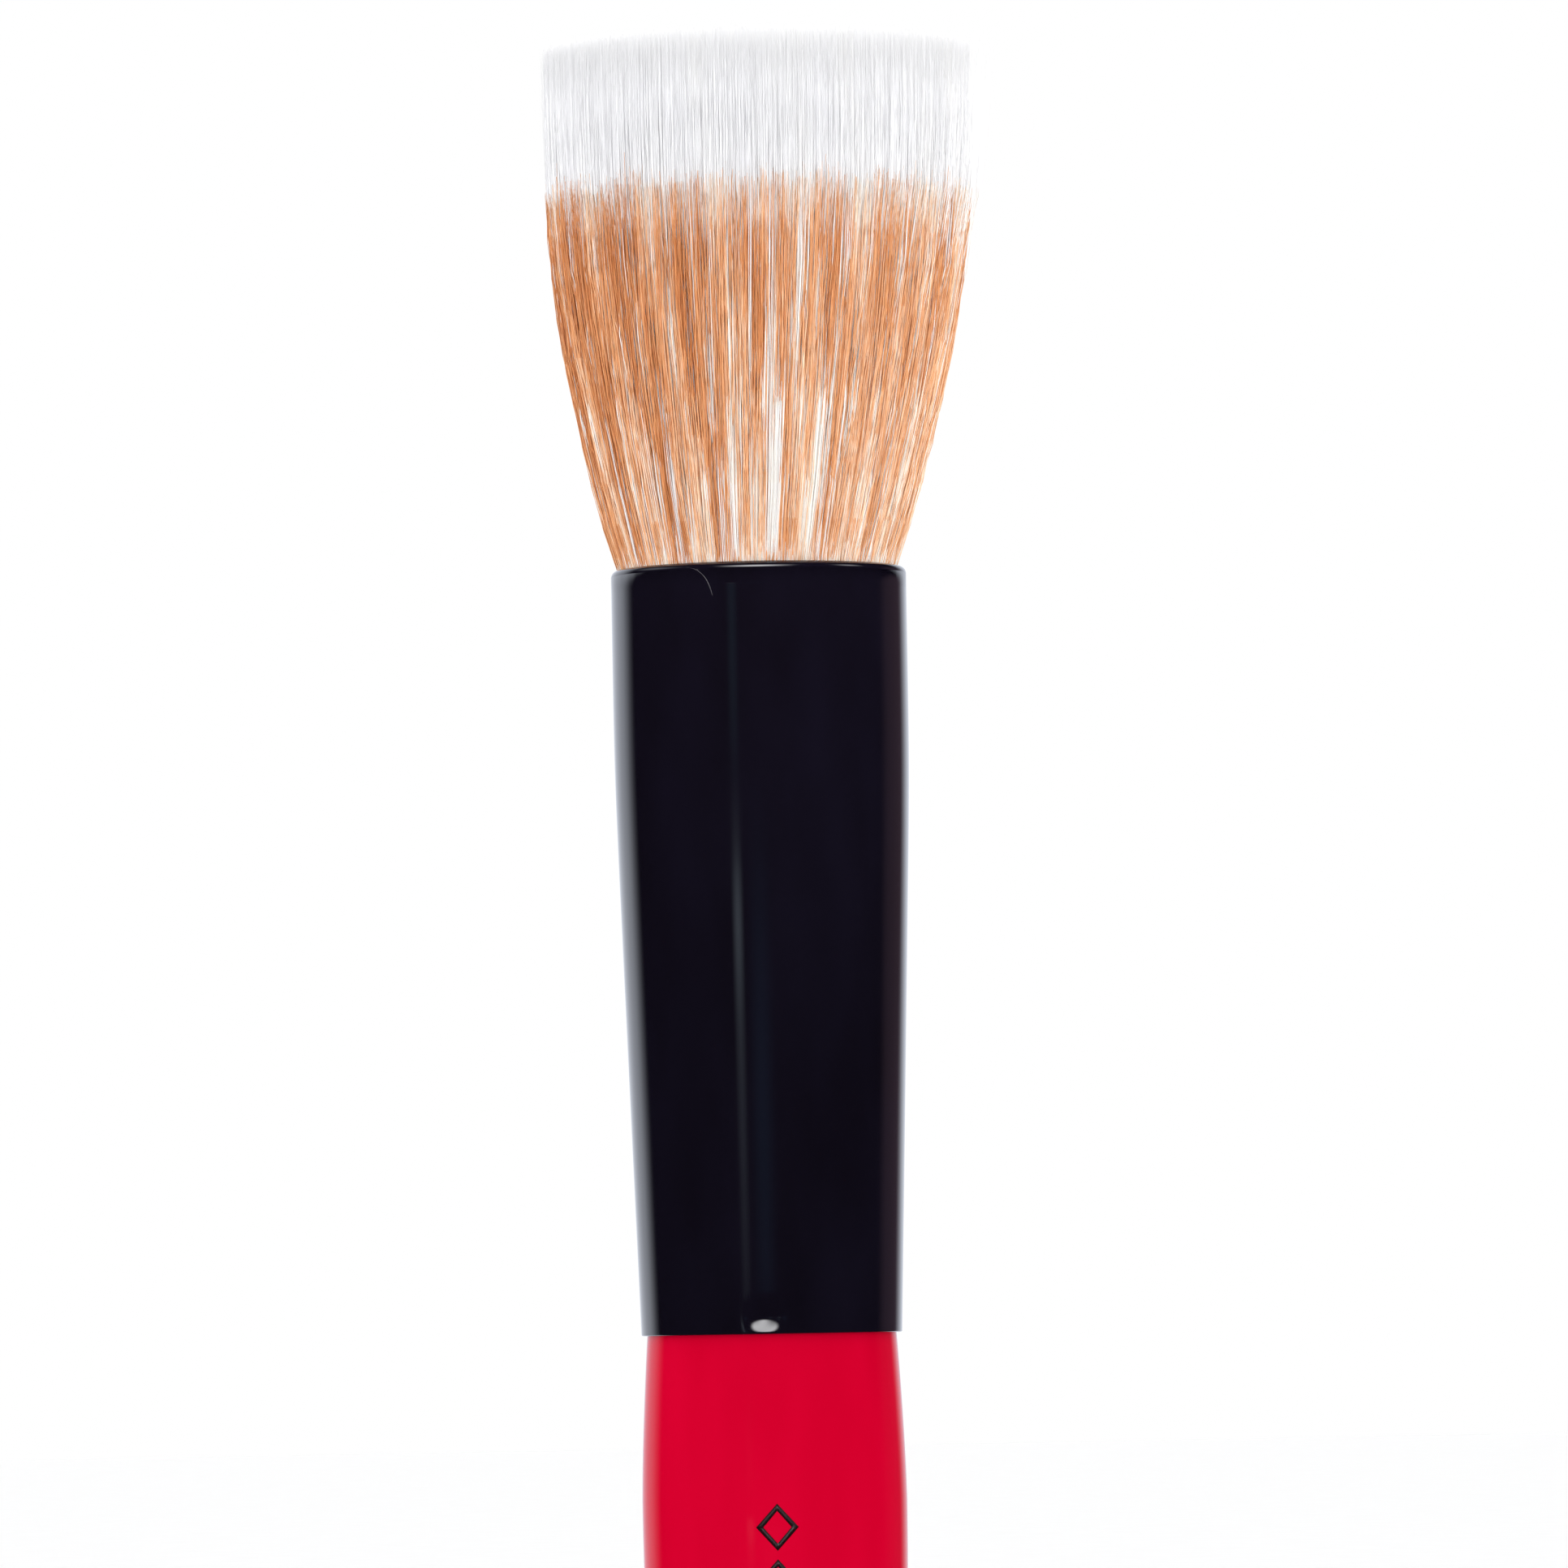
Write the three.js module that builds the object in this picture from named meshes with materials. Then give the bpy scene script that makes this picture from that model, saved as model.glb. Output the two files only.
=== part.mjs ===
// A round stippling brush: a lacquered wooden handle, a crimped black ferrule, and a flat-topped
// bundle of short copper fibres with longer white ones among them.
// Millimetres. +Z runs from the handle's flat end to the fibre tips, and -Y is the front.

import * as THREE from "three";

// ---- Driving dimensions ----

const HANDLE_SHOWN = 88;
const FERRULE_LENGTH = 54.4;
const COPPER_SHOWN = 26.6;
const WHITE_SHOWN = 37.4;

const SEGMENTS = 48;
const FIT_GAP = 0.05;

// ---- Handle ----

const END_FLAT_RADIUS = 3;
const END_RADIUS = 4.9;
const END_ROUNDING = 2.2;
const BELLY_RADIUS = 9.4;
const BELLY_HEIGHT = 76;
const BELLY_CURVE = 1.7;
const NECK_RADIUS = 8.85;
const NECK_CURVE = 1.5;
const NECK_INSERT = 2.6;

const TENON_RADIUS = 8.3;
const TENON_LENGTH = 28;
const TENON_CHAMFER = 1;
const GROOVE_DEPTH = 0.4;
const GROOVE_WIDTH = 1.2;
const GROOVE_HEIGHTS = [8, 14, 20];

// ---- Ferrule: heights are above its foot ----

const FOOT_RADIUS = 9.25;
const BARREL_RADIUS = 10.5;
const CONE_HEIGHT = 40;
const WALL = 0.35;
const LIP_ROUNDING = 0.5;

const CRIMP_COUNT = 3;
const CRIMP_TURN = THREE.MathUtils.degToRad(-3);
const CRIMP_HALF_TURN = THREE.MathUtils.degToRad(8);
const CRIMP_HEIGHT = 1;
const CRIMP_HALF_HEIGHT = 1.3;
const CRIMP_DEPTH = 0.3;
const CRIMP_ROWS = [0, 0.35, 0.7, 1.15, 1.65];

// ---- Fibres, and what holds their roots ----

const ROOT_DEPTH = 20;
const ROOT_RADIUS = 9.35;
const EPOXY_BASE = 4;
const EPOXY_LENGTH = 11.6;
const WAIST_RADIUS = 9.2;
const WAIST_BOTTOM = 44;
const WAIST_TOP = 47.6;
const MOUTH_RADIUS = BARREL_RADIUS - LIP_ROUNDING - FIT_GAP;
const HEAD_RADIUS = 15.2;
const FLARE_LENGTH = 26;
const FLARE_CURVE = 1.6;
const TOP_ROUNDING_RADIAL = 0.9;
const TOP_ROUNDING_AXIAL = 2.2;
const WHITE_CORE_SHARE = 0.7;

const THREAD_RADIUS = 0.25;
const THREAD_TURNS = 4.5;
const THREAD_PITCH = 0.62;
const THREAD_STEPS_PER_TURN = 20;
const THREAD_SIDES = 8;
const THREAD_LIFT = 0.15;

// ---- Materials ----

const redLacquer = new THREE.MeshStandardMaterial({ color: 0xd7002e, roughness: 0.3, metalness: 0 });
const blackEnamel = new THREE.MeshStandardMaterial({ color: 0x120e19, roughness: 0.2, metalness: 0.3 });
const copperFibre = new THREE.MeshStandardMaterial({ color: 0xe0ab85, roughness: 0.6, metalness: 0 });
const whiteFibre = new THREE.MeshStandardMaterial({ color: 0xf0efef, roughness: 0.6, metalness: 0 });
const amberResin = new THREE.MeshStandardMaterial({ color: 0xb08a4a, roughness: 0.3, metalness: 0 });
const curedGlue = new THREE.MeshStandardMaterial({ color: 0xe6dcc0, roughness: 0.5, metalness: 0 });
const cottonThread = new THREE.MeshStandardMaterial({ color: 0xe9e4d6, roughness: 0.9, metalness: 0 });

// ---- Shared helpers ----

const point = (radius, height) => new THREE.Vector2(radius, height);

/** Heights from bottom to top in equal steps, both ends included. */
function heights(bottom, top, steps) {
  return Array.from({ length: steps + 1 }, (_, i) => bottom + ((top - bottom) * i) / steps);
}

/** Points of a quarter ellipse about (radius, height), from one angle to another, in degrees. */
function arc(radius, height, radial, axial, from, to, steps) {
  return heights(from, to, steps).map((degrees) => {
    const angle = THREE.MathUtils.degToRad(degrees);
    return point(radius + radial * Math.cos(angle), height + axial * Math.sin(angle));
  });
}

/** How far the foot of the ferrule, and the wood inside it, are pressed in at one place. */
function crimpDepth(turn, height) {
  const spacing = (2 * Math.PI) / CRIMP_COUNT;
  const fromCrimp = THREE.MathUtils.euclideanModulo(turn - CRIMP_TURN + spacing / 2, spacing) - spacing / 2;
  const across = Math.abs(fromCrimp) / CRIMP_HALF_TURN;
  const along = Math.abs(height - CRIMP_HEIGHT) / CRIMP_HALF_HEIGHT;
  if (across >= 1 || along >= 1) {
    return 0;
  }
  const bump = (share) => Math.cos((share * Math.PI) / 2) ** 2;
  return CRIMP_DEPTH * bump(across) * bump(along);
}

/** Turns an outline of (radius, height) points about +Z, with the crimps pressed in above footHeight. */
function turned(name, outline, material, footHeight = 0) {
  const geometry = new THREE.LatheGeometry(outline, SEGMENTS);
  geometry.rotateX(Math.PI / 2);
  const position = geometry.attributes.position;
  for (let i = 0; i < position.count; i += 1) {
    const x = position.getX(i);
    const y = position.getY(i);
    const radius = Math.hypot(x, y);
    const depth = crimpDepth(Math.atan2(x, -y), position.getZ(i) - footHeight);
    if (depth > 0 && radius > TENON_RADIUS) {
      const pressed = (radius - depth) / radius;
      position.setXY(i, x * pressed, y * pressed);
    }
  }
  geometry.computeVertexNormals();
  const mesh = new THREE.Mesh(geometry, material);
  mesh.name = name;
  return mesh;
}

// ---- Handle and its glue ----

/** The glue grooves' outline between the tenon's shoulder and its end, going up. */
function grooveOutline(radius) {
  return GROOVE_HEIGHTS.flatMap((height) => [
    point(radius, height - GROOVE_WIDTH / 2),
    point(radius - GROOVE_DEPTH, height - GROOVE_WIDTH / 4),
    point(radius - GROOVE_DEPTH, height + GROOVE_WIDTH / 4),
    point(radius, height + GROOVE_WIDTH / 2),
  ]);
}

/** Handle radius between its rounded end and the ferrule: a long belly, then a short neck. */
function handleRadius(height) {
  if (height < BELLY_HEIGHT) {
    const share = (height - END_ROUNDING) / (BELLY_HEIGHT - END_ROUNDING);
    return BELLY_RADIUS - (BELLY_RADIUS - END_RADIUS) * (1 - share) ** BELLY_CURVE;
  }
  const share = (height - BELLY_HEIGHT) / (HANDLE_SHOWN - BELLY_HEIGHT);
  return BELLY_RADIUS - (BELLY_RADIUS - NECK_RADIUS) * share ** NECK_CURVE;
}

function makeHandle() {
  const raised = (p) => point(p.x, p.y + HANDLE_SHOWN);
  const belly = heights(END_ROUNDING, BELLY_HEIGHT, 9);
  const neck = heights(BELLY_HEIGHT, HANDLE_SHOWN, 5);
  const outline = [
    point(0, 0),
    ...arc(END_FLAT_RADIUS, END_ROUNDING, END_RADIUS - END_FLAT_RADIUS, END_ROUNDING, -90, 0, 4),
    ...belly.slice(1, -1).map((height) => point(handleRadius(height), height)),
    ...neck.map((height) => point(handleRadius(height), height)),
    ...CRIMP_ROWS.slice(1).map((height) => raised(point(NECK_RADIUS, height))),
    raised(point(NECK_RADIUS, NECK_INSERT)),
    raised(point(TENON_RADIUS, NECK_INSERT)),
    ...grooveOutline(TENON_RADIUS).map(raised),
    raised(point(TENON_RADIUS, TENON_LENGTH - TENON_CHAMFER)),
    raised(point(TENON_RADIUS - TENON_CHAMFER, TENON_LENGTH)),
    raised(point(0, TENON_LENGTH)),
  ];
  return turned("handle", outline, redLacquer, HANDLE_SHOWN);
}

/** The sleeve of cured glue between the tenon and the ferrule, keyed into the grooves. */
function makeHandleAdhesive() {
  const bottom = NECK_INSERT + FIT_GAP;
  const top = TENON_LENGTH - TENON_CHAMFER;
  const bore = TENON_RADIUS + FIT_GAP;
  const inside = [point(bore, bottom), ...grooveOutline(bore), point(bore, top)];
  const outside = [
    point(boreRadius(top) - FIT_GAP, top),
    point(boreRadius(bottom) - FIT_GAP, bottom),
  ];
  return turned("handle_adhesive", [...outside.reverse(), ...inside.reverse(), outside[0]], curedGlue);
}

// ---- Ferrule ----

/** Outer radius of the ferrule: a cone up from its foot, then a straight barrel. */
function ferruleRadius(height) {
  const share = Math.min(height / CONE_HEIGHT, 1);
  return FOOT_RADIUS + (BARREL_RADIUS - FOOT_RADIUS) * share;
}

const boreRadius = (height) => ferruleRadius(height) - WALL;

function makeFerrule() {
  const shoulder = FERRULE_LENGTH - LIP_ROUNDING;
  const rows = [...CRIMP_ROWS, CRIMP_HEIGHT + CRIMP_HALF_HEIGHT, CONE_HEIGHT];
  const lipRadius = BARREL_RADIUS - LIP_ROUNDING;
  const outline = [
    ...rows.map((height) => point(ferruleRadius(height), height)),
    ...arc(lipRadius, shoulder, LIP_ROUNDING, LIP_ROUNDING, 0, 90, 5),
    ...arc(lipRadius, shoulder, LIP_ROUNDING - WALL, LIP_ROUNDING - WALL, 90, 0, 3),
    ...rows.map((height) => point(boreRadius(height), height)).reverse(),
    point(ferruleRadius(0), 0),
  ];
  return turned("ferrule", outline, blackEnamel);
}

// ---- Fibres: heights are above the ferrule's foot ----

const ROOT_HEIGHT = FERRULE_LENGTH - ROOT_DEPTH;
const EPOXY_TOP = ROOT_HEIGHT - EPOXY_BASE + EPOXY_LENGTH;
const COPPER_TIPS = FERRULE_LENGTH + COPPER_SHOWN;
const WHITE_TIPS = FERRULE_LENGTH + WHITE_SHOWN;

/** Outer radius of the spreading head at one height above the ferrule's mouth. */
function headRadius(aboveMouth) {
  const share = Math.min(aboveMouth / FLARE_LENGTH, 1);
  return HEAD_RADIUS - (HEAD_RADIUS - MOUTH_RADIUS) * (1 - share) ** FLARE_CURVE;
}

/** The bundle's outline from its roots up to the copper tips, going up. */
function bundleOutline() {
  const flare = heights(0, FLARE_LENGTH, 7);
  return [
    point(ROOT_RADIUS, ROOT_HEIGHT),
    point(ROOT_RADIUS, EPOXY_TOP + FIT_GAP),
    point(WAIST_RADIUS, WAIST_BOTTOM),
    point(WAIST_RADIUS, WAIST_TOP),
    point(MOUTH_RADIUS, FERRULE_LENGTH - LIP_ROUNDING),
    ...flare.map((aboveMouth) => point(headRadius(aboveMouth), FERRULE_LENGTH + aboveMouth)),
    point(HEAD_RADIUS, COPPER_TIPS),
  ];
}

/** The short fibres, as the ring that they fill around the longer ones. */
function makeCopperFibres() {
  const outside = bundleOutline();
  const inside = outside.map((p) => point(p.x * WHITE_CORE_SHARE + FIT_GAP, p.y));
  return turned("copper_fibres", [...outside, ...inside.reverse(), outside[0]], copperFibre);
}

/** The long fibres: a core inside the short ones, spreading to the whole head above their tips. */
function makeWhiteFibres() {
  const core = bundleOutline().map((p) => point(p.x * WHITE_CORE_SHARE, p.y));
  const topCentre = WHITE_TIPS - TOP_ROUNDING_AXIAL;
  const head = [
    point(HEAD_RADIUS, COPPER_TIPS + FIT_GAP),
    ...arc(HEAD_RADIUS - TOP_ROUNDING_RADIAL, topCentre, TOP_ROUNDING_RADIAL, TOP_ROUNDING_AXIAL, 0, 90, 4),
  ];
  const neck = point(HEAD_RADIUS * WHITE_CORE_SHARE, COPPER_TIPS + FIT_GAP);
  const outline = [point(0, ROOT_HEIGHT), ...core, neck, ...head, point(0, WHITE_TIPS)];
  return turned("white_fibres", outline, whiteFibre);
}

/** The plug of resin that the fibre roots are potted in: a thick base with a thin wall up around them. */
function makeRootEpoxy() {
  const bottom = ROOT_HEIGHT - EPOXY_BASE;
  const wallHeights = [bottom, CONE_HEIGHT, EPOXY_TOP];
  const outline = [
    point(0, bottom),
    ...wallHeights.map((height) => point(boreRadius(height) - FIT_GAP, height)),
    point(ROOT_RADIUS + FIT_GAP, EPOXY_TOP),
    point(ROOT_RADIUS + FIT_GAP, ROOT_HEIGHT - FIT_GAP),
    point(0, ROOT_HEIGHT - FIT_GAP),
  ];
  return turned("root_epoxy", outline, amberResin);
}

// ---- Binding thread ----

/** A helix about +Z, starting at a height and rising one pitch a turn. */
class Helix extends THREE.Curve {
  constructor(radius, start, pitch, turns) {
    super();
    this.radius = radius;
    this.start = start;
    this.pitch = pitch;
    this.turns = turns;
  }

  getPoint(share, target = new THREE.Vector3()) {
    const turn = share * this.turns;
    const angle = turn * 2 * Math.PI;
    const height = this.start + turn * this.pitch;
    return target.set(this.radius * Math.cos(angle), this.radius * Math.sin(angle), height);
  }
}

/** The thread that ties the bundle at its waist before the ferrule goes on. */
function makeBindingThread() {
  const rise = THREAD_TURNS * THREAD_PITCH;
  const start = (WAIST_BOTTOM + WAIST_TOP - rise) / 2;
  const path = new Helix(WAIST_RADIUS + THREAD_LIFT + THREAD_RADIUS, start, THREAD_PITCH, THREAD_TURNS);
  const section = new THREE.Shape().absarc(0, 0, THREAD_RADIUS, 0, 2 * Math.PI);
  const geometry = new THREE.ExtrudeGeometry(section, {
    steps: THREAD_TURNS * THREAD_STEPS_PER_TURN,
    curveSegments: THREAD_SIDES / 2,
    extrudePath: path,
  });
  const mesh = new THREE.Mesh(geometry, cottonThread);
  mesh.name = "binding_thread";
  return mesh;
}

// ---- Assembly ----

const brush = new THREE.Group();
brush.add(makeHandle());

const ferruleAndFibres = new THREE.Group();
ferruleAndFibres.position.z = HANDLE_SHOWN;
ferruleAndFibres.add(makeFerrule());
ferruleAndFibres.add(makeHandleAdhesive());
ferruleAndFibres.add(makeRootEpoxy());
ferruleAndFibres.add(makeBindingThread());
ferruleAndFibres.add(makeCopperFibres());
ferruleAndFibres.add(makeWhiteFibres());
brush.add(ferruleAndFibres);

export default brush;
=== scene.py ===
# %% [markdown]
# # A round stippling brush
#
# The brush is four things that a maker joins: a turned handle dipped in red lacquer, a drawn
# metal ferrule enamelled black, a bundle of two kinds of fibre, and the glue, resin and thread
# hidden inside that hold them together. The CAD frame already fixes every size and place. This
# lesson gives each piece the surface that the eye expects, and leaves the hidden pieces as they
# are, with a finish of their own.

# %% Load the frame
import math

import bpy
import numpy as np
from mathutils import Matrix, Vector


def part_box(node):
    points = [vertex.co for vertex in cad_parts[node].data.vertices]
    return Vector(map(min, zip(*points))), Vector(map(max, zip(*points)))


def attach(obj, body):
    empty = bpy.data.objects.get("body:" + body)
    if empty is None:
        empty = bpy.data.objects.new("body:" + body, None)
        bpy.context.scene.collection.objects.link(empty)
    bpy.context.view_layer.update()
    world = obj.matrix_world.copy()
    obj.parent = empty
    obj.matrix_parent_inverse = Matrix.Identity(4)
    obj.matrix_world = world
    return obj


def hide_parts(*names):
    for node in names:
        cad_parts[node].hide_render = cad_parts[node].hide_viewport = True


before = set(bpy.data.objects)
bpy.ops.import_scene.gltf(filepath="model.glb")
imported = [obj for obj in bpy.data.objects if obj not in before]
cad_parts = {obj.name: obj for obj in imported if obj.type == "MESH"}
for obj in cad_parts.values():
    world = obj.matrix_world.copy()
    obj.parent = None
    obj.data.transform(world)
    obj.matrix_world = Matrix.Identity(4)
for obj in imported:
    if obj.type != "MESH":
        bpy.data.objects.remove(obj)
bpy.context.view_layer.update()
MM = 0.001
print("nodes:", sorted(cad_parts))

# %% [markdown]
# ## Where things are
#
# A few heights and radii drive every new piece. They could be typed again from the CAD source,
# but then a change there would leave the looks behind. Reading them from the boxes of the CAD
# nodes keeps the two in step: the ferrule's box gives its foot, its mouth and its radius, and
# the fibres' boxes give the tips.

# %% Heights and radii from the frame
ferrule_low, ferrule_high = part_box("ferrule")
copper_low, copper_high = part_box("copper_fibres")
_, white_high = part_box("white_fibres")
_, thread_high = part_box("binding_thread")
_, handle_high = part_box("handle")

FOOT = ferrule_low.z
MOUTH = ferrule_high.z
ROOTS = copper_low.z
TIE_TOP = thread_high.z
TENON_TOP = handle_high.z
COPPER_TIPS = copper_high.z
WHITE_TIPS = white_high.z
BARREL_RADIUS = ferrule_high.x
HEAD_RADIUS = white_high.x
BELLY_RADIUS = handle_high.x
print("foot, mouth, copper tips, white tips, mm:",
      [round(height / MM, 1) for height in (FOOT, MOUTH, COPPER_TIPS, WHITE_TIPS)])

# %% [markdown]
# ## Meshes from whole arrays
#
# Every new piece here is a skin over a grid of points. A turned piece is an outline carried
# round the axis; a fibre is a small triangle carried along a path. Modelling tools could spin
# and sweep them, but a formula says exactly what the shape is, and numpy works out a million
# points at once. The volume inside closed faces comes out negative where they point inwards,
# and they are turned over there.

# %% Turn arrays of points and corners into a mesh
def signed_volume(points, corners):
    """Sum over faces of (a . b x c) / 6, with each four-sided face as two triangles."""
    a = points[corners[:, 0]]
    total = 0.0
    for k in range(1, corners.shape[1] - 1):
        total += np.einsum("ij,ij->", a, np.cross(points[corners[:, k]], points[corners[:, k + 1]]))
    return total / 6


def mesh_from(name, points, quads, triangles=None):
    """A mesh of four-sided faces, then triangles, turned the right way out."""
    if triangles is None:
        triangles = np.zeros((0, 3), int)
    volume = signed_volume(points, quads) + signed_volume(points, triangles)
    if volume < 0:
        quads, triangles = quads[:, ::-1], triangles[:, ::-1]
    corners = np.concatenate([quads.ravel(), triangles.ravel()])
    starts = np.concatenate([np.arange(len(quads)) * 4, quads.size + np.arange(len(triangles)) * 3])
    mesh = bpy.data.meshes.new(name)
    mesh.vertices.add(len(points))
    mesh.vertices.foreach_set("co", points.astype(np.float32).ravel())
    mesh.loops.add(len(corners))
    mesh.loops.foreach_set("vertex_index", corners.astype(np.int32))
    mesh.polygons.add(len(starts))
    mesh.polygons.foreach_set("loop_start", starts.astype(np.int32))
    mesh.polygons.foreach_set("use_smooth", np.ones(len(starts), bool))
    mesh.update(calc_edges=True)
    print(f"{name}: {len(starts)} faces, {abs(volume) / MM**3:.1f} mm3")
    return mesh


def place(name, mesh, slot, *materials):
    """Puts a finished mesh in the scene, riding on the brush, with its materials."""
    piece = bpy.data.objects.new(name, mesh)
    bpy.context.scene.collection.objects.link(piece)
    for material in materials:
        mesh.materials.append(material)
    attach(piece, "root")
    return piece


# %% Grids and turned pieces
def grid_quads(rows, columns, closed_rows=False):
    """Corner numbers of the faces between rows of points; columns always close on themselves."""
    row = np.arange(rows if closed_rows else rows - 1)[:, None]
    column = np.arange(columns)[None, :]
    next_row, next_column = (row + 1) % rows, (column + 1) % columns
    corners = [row * columns + column, row * columns + next_column,
               next_row * columns + next_column, next_row * columns + column]
    return np.stack([c.reshape(-1) for c in corners], axis=1)


def turn_outline(radius, height, turns, push):
    """Points at (r cos t, r sin t, z), where r is the outline's radius less the push at that place:
    one row for each outline point, and one column for each turn.
    """
    r = radius[:, None] - push(turns[None, :], height[:, None])
    z = np.broadcast_to(height[:, None], r.shape)
    return np.stack([r * np.cos(turns), r * np.sin(turns), z], axis=-1).reshape(-1, 3)


# %% [markdown]
# ## Node helpers
#
# Materials are built from nodes. Each one below starts from a Principled shader, and a short
# helper adds the other nodes, so that a finish reads as a list of what it is made of.

# %% Colours and nodes
def srgb(red, green, blue):
    """A colour from 0 to 255 as the linear numbers that shaders use."""
    values = np.array([red, green, blue]) / 255
    linear = np.where(values <= 0.04045, values / 12.92, ((values + 0.055) / 1.055) ** 2.4)
    return (*linear.tolist(), 1.0)


def add(tree, kind, inputs=None, **options):
    """Adds a node. An input takes a number, a colour or another node's output."""
    node = tree.nodes.new(kind)
    for option, value in options.items():
        setattr(node, option, value)
    for label, value in (inputs or {}).items():
        socket = node.inputs[label]
        if isinstance(value, bpy.types.NodeSocket):
            tree.links.new(value, socket)
        else:
            socket.default_value = value
    return node


def new_finish(name, **values):
    """A Principled material, with plain values set on its own sockets."""
    material = bpy.data.materials.new(name)
    material.use_nodes = True
    shader = next(n for n in material.node_tree.nodes if n.type == "BSDF_PRINCIPLED")
    for label, value in values.items():
        shader.inputs[label.replace("_", " ")].default_value = value
    return material, material.node_tree, shader


# %% Noise, bump, ramps and sums
def own_place(tree, scale):
    """The piece's own coordinates, stretched by scale, which may differ along each axis."""
    here = add(tree, "ShaderNodeTexCoord").outputs["Object"]
    return add(tree, "ShaderNodeMapping", {"Vector": here, "Scale": scale}).outputs[0]


def noise(tree, scale, detail=2.0):
    """Noise over the piece's own coordinates, which are stretched by scale."""
    return add(tree, "ShaderNodeTexNoise", {"Vector": own_place(tree, scale), "Scale": 1.0,
                                            "Detail": detail}).outputs[0]


def bumped(tree, shader, height, strength, depth):
    """Tilts the shader's normals as if height, from 0 to 1, stood out by depth."""
    bump = add(tree, "ShaderNodeBump", {"Height": height, "Strength": strength, "Distance": depth})
    tree.links.new(bump.outputs[0], shader.inputs["Normal"])


def ramp(tree, factor, stops):
    """A colour ramp through (place, colour) stops."""
    node = add(tree, "ShaderNodeValToRGB", {0: factor})
    while len(node.color_ramp.elements) < len(stops):
        node.color_ramp.elements.new(0.5)
    for element, (place_on_ramp, colour) in zip(node.color_ramp.elements, stops):
        element.position = place_on_ramp
        element.color = colour
    return node.outputs[0]


def times(tree, first, second):
    """The product of two values."""
    return add(tree, "ShaderNodeMath", {0: first, 1: second}, operation="MULTIPLY").outputs[0]


def plus(tree, first, second):
    """The sum of two values."""
    return add(tree, "ShaderNodeMath", {0: first, 1: second}, operation="ADD").outputs[0]


# %% [markdown]
# ## The ferrule
#
# A ferrule is a tube drawn from thin sheet: straight where it grips the fibres, tapering down
# to the handle, its mouth rolled inwards so that it can't cut them, and its foot pressed into
# the wood in three small crimps. A cylinder would lose all of that. Here one outline goes up
# the outside, over the lip and down the inside, and a bump formula presses the crimps into
# both walls at once.

# %% Ferrule radius and crimps
WALL = 0.35 * MM
LIP = 0.5 * MM
EDGE = 0.08 * MM
CONE_HEIGHT = 40 * MM
CONE_SLOPE = 1.25 / 40
CORNER = 2.2 * MM
CRIMP_TURN = math.radians(-93)
CRIMP_HALF_TURN = math.radians(10.5)
CRIMP_HEIGHT = 1.2 * MM
CRIMP_HALF_HEIGHT = 1.25 * MM
CRIMP_DEPTH = 0.3 * MM


def ferrule_radius(height):
    """Barrel radius less slope times the depth below the cone's top, with the corner rounded."""
    below = CORNER * np.logaddexp(0, (CONE_HEIGHT - (height - FOOT)) / CORNER)
    return BARREL_RADIUS - CONE_SLOPE * below


def crimp_depth(turn, height):
    """Depth times cos squared across times cos squared up, within each of three crimps."""
    third = 2 * np.pi / 3
    across = np.abs((turn - CRIMP_TURN + third / 2) % third - third / 2) / CRIMP_HALF_TURN
    up = np.abs(height - FOOT - CRIMP_HEIGHT) / CRIMP_HALF_HEIGHT
    bump = np.cos(np.clip(across, 0, 1) * np.pi / 2) ** 2 * np.cos(np.clip(up, 0, 1) * np.pi / 2) ** 2
    return CRIMP_DEPTH * bump


# %% Ferrule outline
def ferrule_outline():
    """(radius, height) up the outside, round the lip, down the inside and round the foot's edge.
    The rows of the side stand close together at the foot, where the crimps are.
    """
    side = FOOT + np.concatenate([np.linspace(EDGE, 2.4 * MM, 26), np.linspace(3 * MM, 38 * MM, 20),
                                  np.linspace(39 * MM, MOUTH - FOOT - LIP, 14)])
    down = side[::-1]
    outer = np.linspace(0, np.pi / 2, 14)
    inner = outer[::-1]
    bead = np.linspace(0, np.pi, 7)[1:-1]
    lip_radius, lip_height = BARREL_RADIUS - LIP, MOUTH - LIP
    foot_radius = ferrule_radius(FOOT) - WALL / 2
    stretches = (
        (ferrule_radius(side), side),
        (lip_radius + LIP * np.cos(outer), lip_height + LIP * np.sin(outer)),
        (lip_radius + (LIP - WALL) * np.cos(inner), lip_height + (LIP - WALL) * np.sin(inner)),
        (ferrule_radius(down) - WALL, down),
        (foot_radius - WALL / 2 * np.cos(bead), FOOT + EDGE - EDGE * np.sin(bead)),
    )
    radius, height = (np.concatenate(values) for values in zip(*stretches))
    keep = np.append(True, np.hypot(np.diff(radius), np.diff(height)) > 1e-7)
    return radius[keep], height[keep]


# %% Build the ferrule
ferrule_turns = np.linspace(0, 2 * np.pi, 288, endpoint=False)
outline_radius, outline_height = ferrule_outline()
ferrule_points = turn_outline(outline_radius, outline_height, ferrule_turns, crimp_depth)
ferrule_mesh = mesh_from("ferrule_shell", ferrule_points,
                         grid_quads(len(outline_radius), len(ferrule_turns), closed_rows=True))

# %% [markdown]
# ## Black enamel
#
# The enamel is nearly black with a cold violet cast and a hard gloss. What gives it away as a
# real coat is its reflections: they waver a little, because paint pools in the drawing lines
# that run along the tube. Noise stretched along the axis gives that, as bump far too shallow
# to see on its own, and a second noise makes the gloss slightly uneven.

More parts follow.
